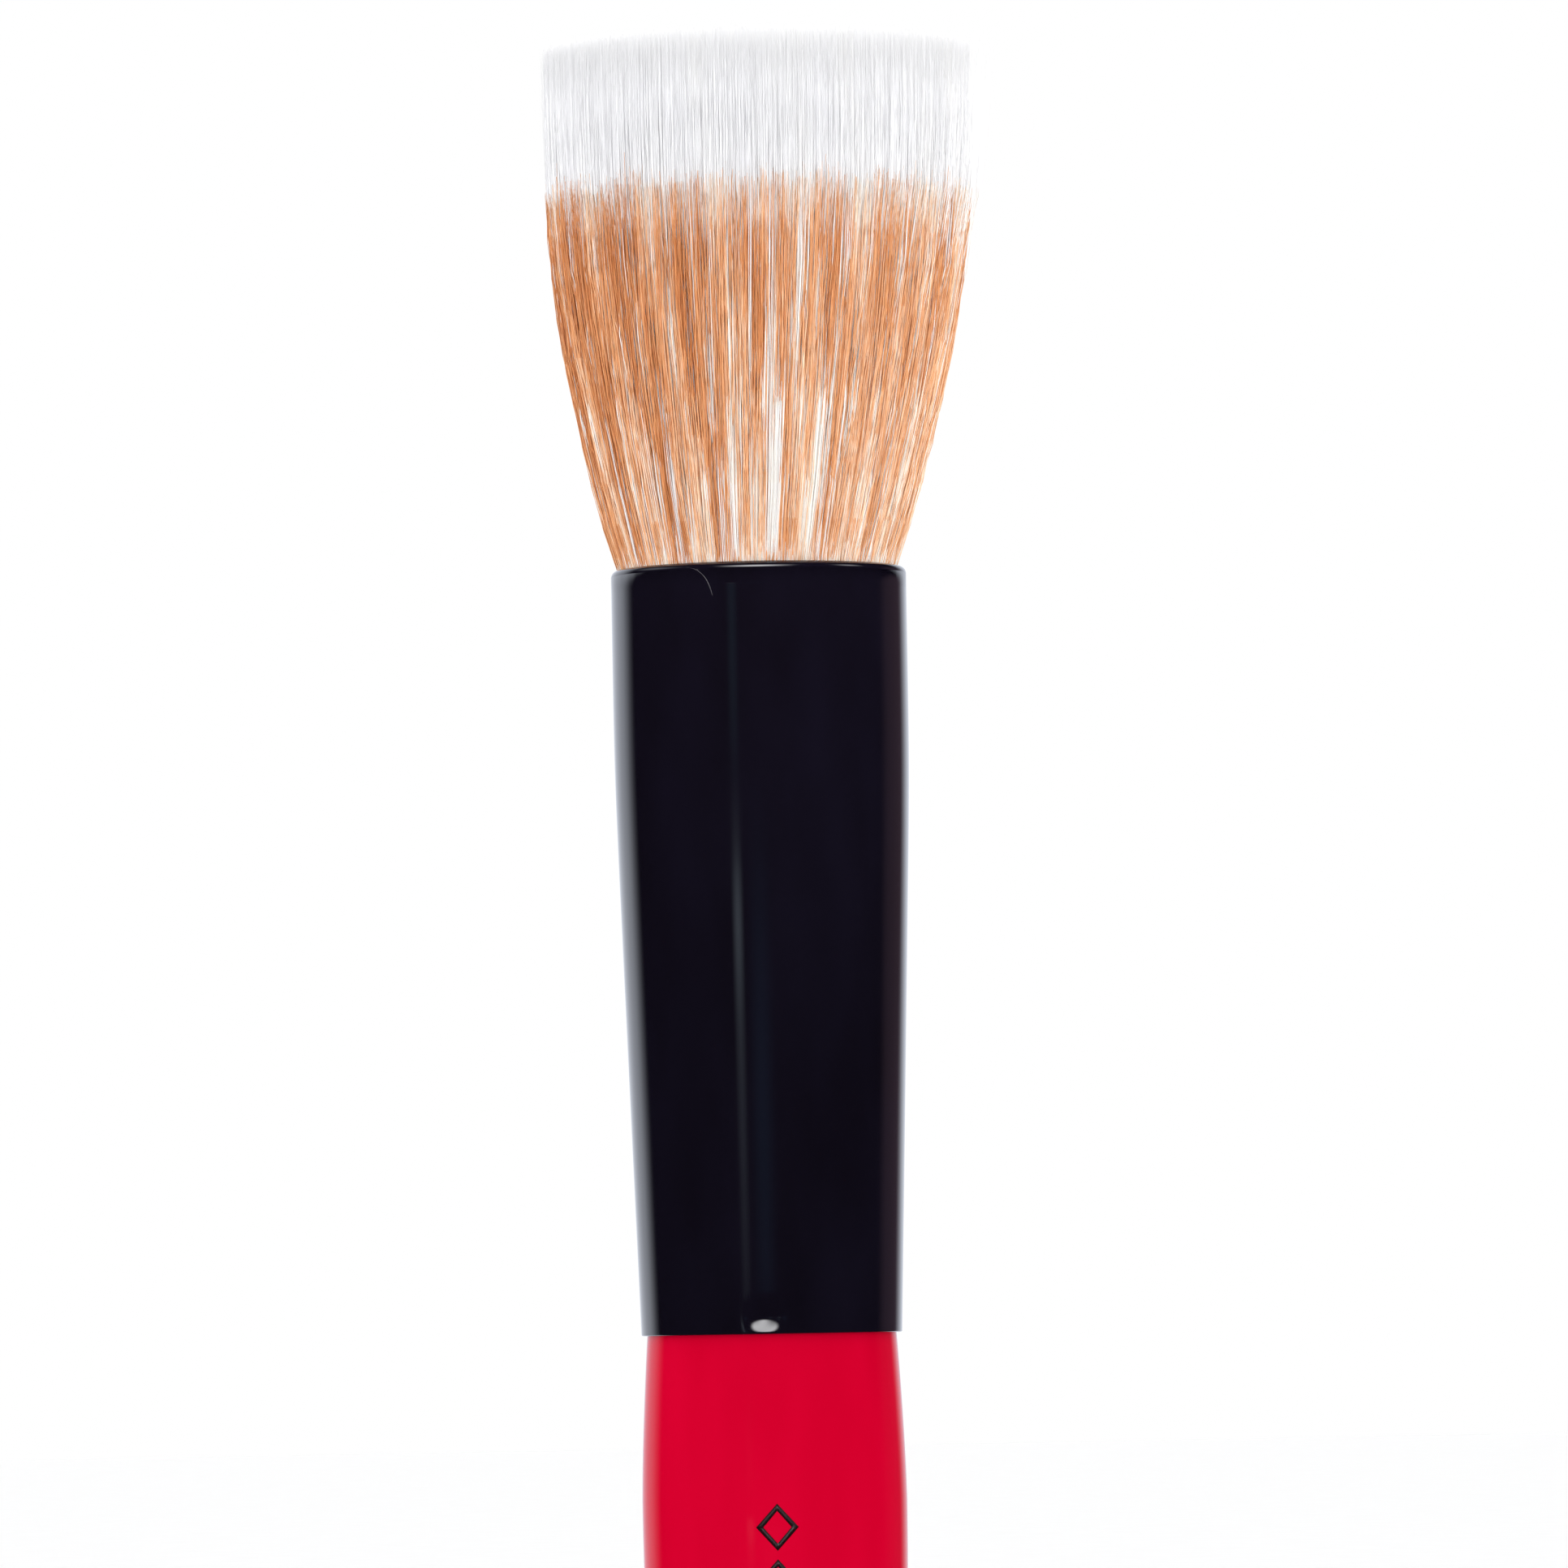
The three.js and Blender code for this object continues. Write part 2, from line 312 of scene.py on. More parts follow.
# %% Enamel finish
def enamel_finish():
    """Black base, clear coat, long shallow waves along the tube and a little dull mottling."""
    material, tree, shader = new_finish("black_enamel", IOR=1.5, Coat_Weight=0.35,
                                        Coat_Roughness=0.03)
    drawn = noise(tree, (700, 700, 18))
    pools = noise(tree, (160, 160, 60), detail=3.0)
    gloss = add(tree, "ShaderNodeMapRange", {"Value": pools, "To Min": 0.05, "To Max": 0.14})
    colour = ramp(tree, pools, [(0.35, srgb(13, 10, 19)), (0.7, srgb(17, 14, 26))])
    tree.links.new(colour, shader.inputs["Base Color"])
    tree.links.new(gloss.outputs[0], shader.inputs["Roughness"])
    bumped(tree, shader, plus(tree, drawn, pools), 0.06, 0.05 * MM)
    return material


ferrule = place("ferrule_shell", ferrule_mesh, "black_enamelled_aluminium", enamel_finish())
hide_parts("ferrule")

# %% [markdown]
# ## The handle
#
# The handle is turned from one rod: a rounded end, a long belly that is thickest just below
# the ferrule, a neck, and inside the ferrule a bare tenon with glue grooves. One outline holds
# all of it, so that the brush can be taken apart on screen too. The belly is a power curve,
# because a straight cone would look like a dowel.

# %% Handle outline
END_FLAT = 3 * MM
END_RADIUS = 4.9 * MM
END_ROUNDING = 2.2 * MM
BELLY_HEIGHT = 76 * MM
NECK_RADIUS = 8.85 * MM
NECK_INSERT = 2.6 * MM
TENON_RADIUS = 8.3 * MM
TENON_CHAMFER = 1 * MM
GROOVE_DEPTH = 0.4 * MM
GROOVE_HALF = 0.6 * MM
GROOVE_HEIGHTS = (8 * MM, 14 * MM, 20 * MM)


def belly_radius(height):
    """Below the belly: belly - (belly - end) * (1 - share) ** 1.7; above it a neck with ** 1.5."""
    low = np.clip((height - END_ROUNDING) / (BELLY_HEIGHT - END_ROUNDING), 0, 1)
    high = np.clip((height - BELLY_HEIGHT) / (FOOT - BELLY_HEIGHT), 0, 1)
    narrowing = (BELLY_RADIUS - END_RADIUS) * (1 - low) ** 1.7
    return BELLY_RADIUS - narrowing - (BELLY_RADIUS - NECK_RADIUS) * high**1.5


def tenon_radius(height):
    """The tenon, less a rounded groove at each glue height, less a chamfer at its end."""
    centres = FOOT + np.array(GROOVE_HEIGHTS)[:, None]
    share = np.clip(np.abs(height[None, :] - centres) / GROOVE_HALF, 0, 1)
    grooves = GROOVE_DEPTH * np.sum(np.cos(share * np.pi / 2) ** 0.5, axis=0)
    return TENON_RADIUS - grooves - np.clip(height - (TENON_TOP - TENON_CHAMFER), 0, None)


def handle_outline():
    """(radius, height) from the edge of the end flat to the edge of the tenon's end."""
    turn = np.linspace(-np.pi / 2, 0, 14)
    side = np.concatenate([np.linspace(END_ROUNDING, FOOT - 2 * MM, 70)[1:],
                           np.linspace(FOOT - 1.9 * MM, FOOT + NECK_INSERT, 28)])
    tenon = np.linspace(FOOT + NECK_INSERT, TENON_TOP, 110)
    radius = np.concatenate([END_FLAT + (END_RADIUS - END_FLAT) * np.cos(turn),
                             belly_radius(side), tenon_radius(tenon)])
    height = np.concatenate([END_ROUNDING + END_ROUNDING * np.sin(turn), side, tenon])
    return radius, height


# %% Build the handle
handle_turns = np.linspace(0, 2 * np.pi, 224, endpoint=False)
outline_radius, outline_height = handle_outline()
columns, rows = len(handle_turns), len(outline_radius)
side_points = turn_outline(outline_radius, outline_height, handle_turns, crimp_depth)
poles = np.array([[0, 0, outline_height[0]], [0, 0, outline_height[-1]]])
end_pole, tenon_pole = len(side_points), len(side_points) + 1
column = np.arange(columns)
next_column = (column + 1) % columns
last = (rows - 1) * columns
end_fan = np.stack([np.full(columns, end_pole), next_column, column], axis=1)
tenon_fan = np.stack([np.full(columns, tenon_pole), last + column, last + next_column], axis=1)
handle_mesh = mesh_from("lacquered_handle", np.concatenate([side_points, poles]),
                        grid_quads(rows, columns), np.concatenate([end_fan, tenon_fan]))

# %% [markdown]
# ## Red lacquer over wood
#
# The handle is dipped, so the lacquer is thick, even and very glossy, and ends where the neck
# enters the ferrule. Only the tenon shows wood. Two materials share the mesh: faces on the
# tenon take the wood, and the rest take the lacquer. A dipped coat is never quite flat, so a
# wide, faint noise ripples it; a colour that is the same all over needs no picture.

# %% Lacquer and bare wood
def lacquer_finish():
    """Deep, glossy red with the faint ripple of a dipped surface."""
    material, tree, shader = new_finish("red_lacquer", Roughness=0.05, IOR=1.2)
    runs = noise(tree, (220, 220, 45))
    colour = ramp(tree, runs, [(0.3, srgb(208, 0, 42)), (0.7, srgb(216, 2, 47))])
    tree.links.new(colour, shader.inputs["Base Color"])
    bumped(tree, shader, runs, 0.05, 0.05 * MM)
    return material


def bare_wood_finish():
    """Growth rings about a centre off the axis, broken up by noise, with fine pores."""
    material, tree, shader = new_finish("bare_wood", Roughness=0.7)
    grain = add(tree, "ShaderNodeTexWave", {"Vector": own_place(tree, (420, 420, 20)), "Scale": 1.0,
                                            "Distortion": 3.0, "Detail": 3.0}, wave_type="RINGS")
    colour = ramp(tree, grain.outputs[0], [(0.0, srgb(214, 178, 128)), (1.0, srgb(188, 146, 96))])
    tree.links.new(colour, shader.inputs["Base Color"])
    bumped(tree, shader, noise(tree, (2600, 2600, 180)), 0.3, 0.1 * MM)
    return material


handle = place("lacquered_handle", handle_mesh, "red_lacquered_wood",
               lacquer_finish(), bare_wood_finish())
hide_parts("handle")
tenon_row = int(np.argmax(outline_height >= FOOT + NECK_INSERT))
on_tenon = np.zeros(len(handle_mesh.polygons), np.int32)
on_tenon[tenon_row * columns:(rows - 1) * columns] = 1
on_tenon[-columns:] = 1
handle_mesh.polygons.foreach_set("material_index", on_tenon)
print("faces of bare wood:", int(on_tenon.sum()))

# %% [markdown]
# ## The printed mark
#
# A maker prints a small mark along the handle. This one is plain ornament, a column of open
# lozenges. Ink is a film a few hundredths of a millimetre thick, so each lozenge is a thin
# closed band that bends with the handle: a flat place (across, up) goes to the turn
# across / radius and the height up.

# %% Lozenges in ink
INK_ACROSS = 3.0 * MM
INK_UP = 3.3 * MM
INK_PITCH = 3.9 * MM
INK_STROKE = 0.5 * MM
INK_LIFT = 0.02 * MM
INK_COUNT = 7
INK_TOP = FOOT - 11.9 * MM
INK_TURN = math.radians(-89)


def lozenge_band(middle_height):
    """Points (around, edge, xyz): a rhombus outline with a flat ink section carried round it."""
    corner_place = np.linspace(0, 4, 48, endpoint=False)
    across = np.abs((corner_place + 1) % 4 - 2) - 1
    up = np.abs(corner_place % 4 - 2) - 1
    section_in = np.array([0, 0, 1, 1])
    section_lift = np.array([-1, 1, 1, -1]) * INK_LIFT
    half_across = INK_ACROSS / 2 - INK_STROKE * section_in
    half_up = INK_UP / 2 - INK_STROKE * section_in
    height = middle_height + up[:, None] * half_up
    radius = belly_radius(height)
    turn = INK_TURN + across[:, None] * half_across / radius
    radius = radius + section_lift
    return np.stack([radius * np.cos(turn), radius * np.sin(turn), height], axis=-1)


def ink_finish():
    """Black ink, a little thinner in places, duller than the lacquer under it."""
    material, tree, shader = new_finish("print_ink", Roughness=0.45)
    thin = noise(tree, (5000, 5000, 5000))
    colour = ramp(tree, thin, [(0.35, srgb(24, 6, 10)), (0.75, srgb(46, 4, 14))])
    tree.links.new(colour, shader.inputs["Base Color"])
    return material


ink_heights = INK_TOP - INK_UP / 2 - INK_PITCH * np.arange(INK_COUNT)
bands = np.stack([lozenge_band(height) for height in ink_heights])
band_quads = grid_quads(bands.shape[1], bands.shape[2], closed_rows=True)
all_quads = (np.arange(INK_COUNT)[:, None, None] * bands.shape[1] * bands.shape[2] + band_quads)
ink_mesh = mesh_from("printed_mark", bands.reshape(-1, 3), all_quads.reshape(-1, 4))
place("printed_mark", ink_mesh, "red_lacquered_wood", ink_finish())

# %% [markdown]
# ## How a fibre bundle stands
#
# About thirty-three thousand fibres fill the ferrule. Each keeps its own place in the round of
# the bundle all the way up, so the whole head follows from one radius: tight at the roots,
# tied at the waist, squeezed by the mouth, then spreading. Hair particles would draw them, but
# they aren't a mesh that can be kept; here every fibre is a thin three-sided rod.

# %% Bundle radius
rng = np.random.default_rng(845)
COPPER_LENGTH = COPPER_TIPS - MOUTH
WHITE_LENGTH = WHITE_TIPS - MOUTH
WAIST_RADIUS = thread_high.x - 0.65 * MM
MOUTH_RADIUS = BARREL_RADIUS - LIP - 0.05 * MM
FREE_RADIUS = BARREL_RADIUS - 0.45 * MM
FLARE = 27.5 * MM
FLARE_POWER = 1.6
SQUEEZE_FADE = 0.6 * MM
LEAN_MOUTH = -0.1 * MM
LEAN_HEAD = 0.5 * MM


def bundle_radius(above):
    """Head - (head - free) * (1 - share of the flare) ** power, less a squeeze that fades above the
    mouth; inside the ferrule, a line from waist to mouth.
    """
    share = np.clip(above / FLARE, 0, 1)
    squeeze = (FREE_RADIUS - MOUTH_RADIUS) * np.exp(-np.clip(above, 0, None) / SQUEEZE_FADE)
    flare = HEAD_RADIUS - (HEAD_RADIUS - FREE_RADIUS) * (1 - share) ** FLARE_POWER - squeeze
    inside = np.interp(above, [ROOTS - MOUTH, TIE_TOP - MOUTH, 0],
                       [WAIST_RADIUS, WAIST_RADIUS, MOUTH_RADIUS])
    return np.where(above < 0, inside, flare)


def lean(above):
    """Sideways set of the head: from its value at the mouth to its value at the head."""
    share = np.clip(above / FLARE, 0, 1)
    return np.where(above < 0, 0, LEAN_MOUTH + (LEAN_HEAD - LEAN_MOUTH) * share)


# %% Patchiness
SKIN_RADIUS = 13 * MM
ANY_HEIGHT = (MM, MM)  # for a field that is read at height 0 alone


def wave_sum(turn, above, across, along, seed, count=12):
    """A smooth random field on the bundle's skin: the sum of cosines of (n * turn + k * above +
    phase). Each n makes a wave of a length picked from across, and each k one picked from along.
    """
    pick = np.random.default_rng(seed)
    total = 0.0
    for _ in range(count):
        around = np.round(2 * np.pi * SKIN_RADIUS / pick.uniform(*across))
        upward = pick.choice([-1, 1]) * 2 * np.pi / pick.uniform(*along)
        total = total + np.cos(around * turn + upward * above + pick.uniform(0, 2 * np.pi))
    return total / math.sqrt(count / 2)


# %% [markdown]
# ## Placing the fibres
#
# The two kinds stand evenly mixed, so a sunflower spiral places them: each fibre turns by the
# golden angle from the last, which leaves no gaps and no rows. What does vary is which kind
# comes to the front. White shows in streaks, eight of them named at the front and the others
# random, and there the copper fibres step back; elsewhere the white ones do.

# %% Fibre places
GOLDEN_TURN = np.pi * (3 - math.sqrt(5))
STRAY_SHARE = 0.25
LEAST_SHARE = 0.01


def wrapped(turn):
    """The same turn, between -pi and pi."""
    return (turn + np.pi) % (2 * np.pi) - np.pi


def spiral_places(count, inner, outer):
    """(share of the radius, turn): fibre i turns i golden angles, and the areas between radii are
    equal. Each fibre strays from its place by a random share of the spacing.
    """
    i = np.arange(count) + 0.5
    share = np.sqrt(inner**2 + (outer**2 - inner**2) * i / count)
    stray = STRAY_SHARE * math.sqrt(np.pi * (outer**2 - inner**2) / count)
    share = np.clip(share + rng.normal(0, stray, count), LEAST_SHARE, outer)
    turn = i * GOLDEN_TURN + rng.uniform(0, 2 * np.pi) + rng.normal(0, stray, count)
    return share, wrapped(turn)


# %% Where white comes to the front
# Each streak: its turn and half width in degrees, and the heights above the mouth where it starts
# and ends, in millimetres.
NAMED_STREAKS = (
    (-98.0, 1.0, 0, 15),
    (-92.0, 0.8, 13, 29),
    (-84.8, 1.5, 1, 22),
    (-82.6, 1.0, 0, 15),
    (-78.0, 0.8, 12, 29),
    (-72.5, 0.7, 14, 29),
    (-68.8, 2.1, 0, 17),
    (-65.4, 0.7, 1, 11),
)
STREAK_STRENGTH = 0.85
STREAK_FADE_IN = 3 * MM
STREAK_FADE_OUT = 9 * MM
WHITE_AT_MOUTH = 0.36
WHITE_FALL = 0.34
WHITE_FALL_HEIGHT = 16 * MM
THIN_STREAK = 0.22


def white_in_front(turn, above):
    """The share of white fibres in front: it falls with height, varies in random thin streaks,
    and rises in bell-shaped named streaks that last between two heights.
    """
    front = WHITE_AT_MOUTH - WHITE_FALL * np.clip(above / WHITE_FALL_HEIGHT, 0, 1)
    thin = wave_sum(turn, above, (0.9 * MM, 2.6 * MM), (9 * MM, 40 * MM), seed=5)
    front = front + THIN_STREAK * np.clip(thin, -1, 2)
    for degrees, half_width, low, high in NAMED_STREAKS:
        apart = wrapped(turn - math.radians(degrees)) / math.radians(half_width)
        started = np.clip((above - low * MM) / STREAK_FADE_IN, 0, 1)
        lasting = np.clip((high * MM - above) / STREAK_FADE_OUT, 0, 1)
        front = front + STREAK_STRENGTH * np.exp(-(apart**2)) * started * lasting
    return np.clip(front, 0, 1)


# %% How far a fibre steps back
STEP_BACK = {"copper": 0.5 * MM, "white": 0.55 * MM}
STEP_FADE = 4 * MM
MINGLING = 0.3


def step_back(kind, turn, above):
    """How far a fibre stands back from the skin, growing above the mouth and ending at the tips.

    Each fibre has a rank from 0 to 1 of its own, and white is in front where its share is above
    the rank of the fibre, so the two kinds mingle.
    """
    rank = rng.uniform(0, 1, (len(turn), 1))
    white = np.clip((white_in_front(turn, above) - rank) / MINGLING + 0.5, 0, 1)
    hidden = white if kind == "copper" else 1 - white
    grown = np.clip(above / STEP_FADE, 0, 1)
    ended = np.clip((COPPER_LENGTH + 1 * MM - above) / STEP_FADE, 0, 1)
    return STEP_BACK[kind] * hidden * grown * ended


# %% [markdown]
# ## The path of a fibre
#
# A real fibre wanders: it crinkles, it clings to its neighbours, and at the edge of a head that
# has been brushed a few tips bend out and stay there. Each of these is one small term added to
# the smooth path, so each can be turned off by itself to see what it does.

# %% Tips that bend outwards
SPLAY = 0.9 * MM
SPLAYED_SHARE = 0.3
SPLAY_ON_LEFT = 0.12


def splay(share, turn, above):
    """How far some outermost fibres bend outwards, growing with the square of the height: most on
    the right, where the head has been brushed, and least on the left.
    """
    pick = np.random.default_rng(17)
    amount = pick.exponential(SPLAY, len(share)).clip(0, 2 * SPLAY)
    amount *= pick.uniform(size=len(share)) < SPLAYED_SHARE
    amount *= SPLAY_ON_LEFT + (1 - SPLAY_ON_LEFT) * np.clip(np.cos(turn), 0, 1) ** 2
    amount *= np.clip((share - 0.9) / 0.1, 0, 1)
    return amount[:, None] * np.clip(above / WHITE_LENGTH, 0, 1) ** 2


# %% Paths
CRINKLE = {"copper": 0.13 * MM, "white": 0.06 * MM}
GATHER = {"copper": 0.008, "white": 0.002}
FREE_ABOVE = 5 * MM
SWAY_SIZES = (0.55, 0.3, 0.2)
SWAY_LENGTHS = (5 * MM, 16 * MM)


def crinkle(above):
    """Two sets of waves, outwards and around: sines of random length and start for each fibre."""
    sway = np.zeros((2, *above.shape))
    for size in SWAY_SIZES:
        length = rng.uniform(*SWAY_LENGTHS, (2, len(above), 1))
        start = rng.uniform(0, 2 * np.pi, (2, len(above), 1))
        sway += size * np.sin(2 * np.pi * above / length + start)
    return sway


def fibre_paths(kind, share, turn, tip, knots):
    """Centre lines (fibre, knot, xyz): share * bundle radius, plus waves that grow above the mouth.

    Two knots stand inside the ferrule, at the root and the tie; the others are even up to the tip.
    """
    inside = np.array([ROOTS - MOUTH, TIE_TOP - MOUTH])
    up = np.linspace(0, 1, knots)[None, :] * tip[:, None]
    above = np.concatenate([np.broadcast_to(inside, (len(share), 2)), up], axis=1)
    free = np.clip(above / FREE_ABOVE, 0, 1)
    sway = crinkle(above) * (CRINKLE[kind] * free)
    gather = wave_sum(turn, 0 * turn, (1.0 * MM, 3 * MM), ANY_HEIGHT, seed=11)
    angle = turn[:, None] + GATHER[kind] * gather[:, None] * free
    radius = share[:, None] * bundle_radius(above) + sway[0] - step_back(kind, turn[:, None], above)
    if kind == "white":
        radius = radius + splay(share, turn, above)
    angle = angle + sway[1] / np.maximum(radius, MM)
    x = radius * np.cos(angle) + lean(above)
    return np.stack([x, radius * np.sin(angle), MOUTH + above], axis=-1)


# %% [markdown]
# ## From path to rod
#
# Each knot gets a small triangle of points around it, and faces join one triangle to the
# next. The rods narrow towards their tips, as real fibres are ground to do. Every face also
# carries one number, its shade, which the fibre's material turns into a colour. The map laid
# on the mesh gives each fibre a narrow cell of its own, so a colour bake keeps them apart.

# %% Rods around paths
SIDES = 3


def rod_arrays(paths, thickness):
    """Points, side faces and end faces of a three-sided rod around each path."""
    count, knots, _ = paths.shape
    spin = rng.uniform(0, 2 * np.pi, (count, 1, 1)) + np.arange(SIDES) * 2 * np.pi / SIDES
    ring = np.stack([np.cos(spin), np.sin(spin), 0 * spin], axis=-1)
    points = paths[:, :, None, :] + ring * (thickness / 2)[:, :, None, None]
    first = (np.arange(count) * knots * SIDES)[:, None, None]
    knot = np.arange(knots - 1)[None, :, None] * SIDES
    side = np.arange(SIDES)[None, None, :]
    next_side = (side + 1) % SIDES
    corners = [first + knot + side, first + knot + next_side,
               first + knot + SIDES + next_side, first + knot + SIDES + side]
    quads = np.stack(corners, axis=-1).reshape(-1, 4)
    root = first[:, :, 0] + np.array([2, 1, 0])
    tip = first[:, :, 0] + (knots - 1) * SIDES + np.array([0, 1, 2])
    return points.reshape(-1, 3), quads, np.concatenate([root, tip])


# %% A map with a cell for each fibre
MAP_COLUMNS = 128


def rod_map(count, knots):
    """Map places of every face corner: fibre i has cell (i mod columns, i div columns) of a grid."""
    rows = math.ceil(count / MAP_COLUMNS)
    left = (np.arange(count) % MAP_COLUMNS) / MAP_COLUMNS
    bottom = (np.arange(count) // MAP_COLUMNS) / rows
    low = np.arange(knots - 1) / (knots - 1) / rows
    step = 1 / (knots - 1) / rows
    u = left[:, None, None, None] + np.array([0, 1, 1, 0]) / MAP_COLUMNS
    v = bottom[:, None, None, None] + low[None, :, None, None] + np.array([0, 0, 1, 1]) * step
    sides = np.stack(np.broadcast_arrays(u, v + np.zeros((1, 1, SIDES, 1))), axis=-1).reshape(-1, 2)
    end_u = np.array([0, 1, 0.5]) / MAP_COLUMNS
    end_v = bottom[:, None] + [0, 0, step]
    roots = np.stack(np.broadcast_arrays(left[:, None] + end_u, end_v), axis=-1)
    tip_v = bottom[:, None] + 1 / rows - step + [0, 0, step]
    tips = np.stack(np.broadcast_arrays(left[:, None] + end_u, tip_v), axis=-1)
    return np.concatenate([sides, roots.reshape(-1, 2), tips.reshape(-1, 2)])


# %% A lock as one piece
def place_fibres(name, slot, material, paths, thickness, shade):
    """One lock of fibres as a piece, with a shade on every face."""
    count, knots, _ = paths.shape
    points, quads, ends = rod_arrays(paths, thickness)
    mesh = mesh_from(name, points, quads, ends)
    column = mesh.uv_layers.new(name="OFBake")
    column.data.foreach_set("uv", rod_map(count, knots).astype(np.float32).ravel())
    middle = (shade[:, 1:] + shade[:, :-1]) / 2
    sides = np.repeat(middle[:, :, None], SIDES, axis=2).reshape(-1)
    values = np.concatenate([sides, shade[:, 0], shade[:, -1]]).astype(np.float32)
    faces = mesh.attributes.new("shade", "FLOAT", "FACE")
    faces.data.foreach_set("value", values)
    return place(name, mesh, slot, material)


# %% [markdown]
# ## Fibre colour
#
# Copper fibre runs from deep copper to pale peach, and white fibre from a cool white to a warm one. One
# ramp for each kind turns the shade number into that range, so thousands of fibres can differ while
# only two materials exist. Fine noise along the fibre breaks its colour up into painted highlights,
# standing in for the short glint that crimped fibre catches from the light, and darker flecks.

# %% Fibre finishes
# How far the painted highlights lift a fibre's shade, and the darker flecks lower it.
PAINTED_GLINT = 0.11


def fibre_finish(name, stops, roughness):
    """The face's shade, nudged up or down by noise along the fibre, which paints highlights and darker
    flecks, through a colour ramp.
    """
    material, tree, shader = new_finish(name, Roughness=roughness, IOR=1.5)
    shade = add(tree, "ShaderNodeAttribute", attribute_name="shade", attribute_type="GEOMETRY")
    # Painted highlights: noise along the fibre stands in for the glint of crimped fibre.
    painted_highlights = noise(tree, (4500, 4500, 700), detail=1.0)
    nudge = add(tree, "ShaderNodeMapRange", {"Value": painted_highlights, "From Min": 0.3, "From Max": 0.7,
                                             "To Min": -PAINTED_GLINT, "To Max": PAINTED_GLINT})
    total = add(tree, "ShaderNodeMath", {0: shade.outputs["Fac"], 1: nudge.outputs[0]},
                operation="ADD", use_clamp=True)
    tree.links.new(ramp(tree, total.outputs[0], stops), shader.inputs["Base Color"])
    return material


copper_finish = fibre_finish("copper_fibre", [
    (0.0, srgb(196, 118, 64)), (0.3, srgb(221, 149, 95)), (0.55, srgb(237, 177, 128)),
    (0.8, srgb(250, 214, 182)), (1.0, srgb(255, 241, 228))], 0.5)
white_finish = fibre_finish("white_fibre", [
    (0.0, srgb(252, 252, 254)), (0.45, srgb(253, 253, 254)), (1.0, srgb(255, 251, 243))], 0.45)

# %% [markdown]
# ## Growing the locks
#
# The bundle is cut into six locks like slices of a cake, for each kind of fibre and for the
# outside and the inside, so that no piece is too heavy to handle. The outside is seen close to,
# so its fibres are thin and many; the inside only fills the top view and the gaps, so it makes
# do with thicker, fewer ones. Each fibre gets a length, a width that narrows to its tip, and a
# shade that varies from fibre to fibre, along it, and in long streaks.

# %% Lengths
COPPER_PATCHY = 0.28 * MM
COPPER_RAGGED = 0.55 * MM
COPPER_SHORT = 0.15 * MM
WHITE_RAGGED = 0.5 * MM
WHITE_SHORTEST = 3 * MM
BROKEN_SHARE = 0.08
BROKEN_SHORT = 2.5 * MM


def copper_lengths(count, turn):
    """Copper tips end in an uneven line: a patchy rise and fall, and a random part."""
    patchy = COPPER_PATCHY * wave_sum(turn, 0 * turn, (3 * MM, 9 * MM), ANY_HEIGHT, seed=3)
    return COPPER_LENGTH + patchy + rng.normal(0, COPPER_RAGGED, count) - COPPER_SHORT


def white_lengths(count):
    """White tips end just below the trimmed top, and one in twelve is broken short."""
    tips = WHITE_LENGTH - rng.exponential(WHITE_RAGGED, count).clip(0, WHITE_SHORTEST)
    return tips - (rng.uniform(size=count) < BROKEN_SHARE) * rng.uniform(0, BROKEN_SHORT, count)


# %% Shades
OWN_SHADE = 0.07
KNOT_SHADE = 0.05
PATCH_SHADE = 0.12
# Painted light: the right side of the head is made lighter, as if lit more from there.
PAINTED_SIDE_LIGHT = 0.12
LIGHT_SIDE = math.radians(5)
# Painted light: warmth bounced off the copper onto white fibre among it, taken away above it.
WHITE_PAINTED_BOUNCE = 0.3
PAINTED_BOUNCE_FADE = 5 * MM
COPPER_RISE = 0.12
PALE_TIP = 0.35
PALE_TIP_START = 0.95
# Painted shade: fibres are darker just above the mouth, where the ferrule shadows them.
MOUTH_PAINTED_SHADE = 0.14
MOUTH_PAINTED_SHADE_FADE = 0.8 * MM


def fibre_shade(kind, turn, above, along):
    """A middle shade, plus a random part for each fibre and each knot, long patches, and painted light
    that makes the right side of the head lighter than the left, less a painted shade at the mouth,
    where the ferrule shadows the fibres. White fibre gets painted warm light, bounced off the copper,
    among the copper and is cool above it; copper fibre darkens upwards and ends in a pale tip.
    """
    patch = wave_sum(turn[:, None], above, (1.5 * MM, 7 * MM), (14 * MM, 50 * MM), seed=7)
    own = rng.normal(0, OWN_SHADE, (len(turn), 1))
    shade = 0.5 + own + PATCH_SHADE * patch + rng.normal(0, KNOT_SHADE, along.shape)
    # Painted light: the right side of the head is lighter than the left.
    shade = shade + PAINTED_SIDE_LIGHT * np.cos(turn + LIGHT_SIDE)[:, None]
    if kind == "white":
        # Painted bounce light: white fibre is warm among the copper and cool above it.
        past_copper = np.clip((above - COPPER_LENGTH) / PAINTED_BOUNCE_FADE + 1, 0, 1)
        shade = shade + WHITE_PAINTED_BOUNCE * (1 - 2 * past_copper)
    else:
        at_tip = np.clip((along - PALE_TIP_START) / (1 - PALE_TIP_START), 0, 1)
        shade = shade + COPPER_RISE * (1 - 2 * along) + PALE_TIP * at_tip
    # Painted shade just above the mouth, where the ferrule shadows the fibres.
    shade = shade - MOUTH_PAINTED_SHADE * np.exp(-np.clip(above, 0, None) / MOUTH_PAINTED_SHADE_FADE)
    return np.clip(shade, 0, 1)


# %% Grow one ring
TAPER_START = {"copper": 0.75, "white": 0.5}
TAPER_END = {"copper": 0.35, "white": 0.25}
WIDTH_SPREAD = (0.8, 1.2)


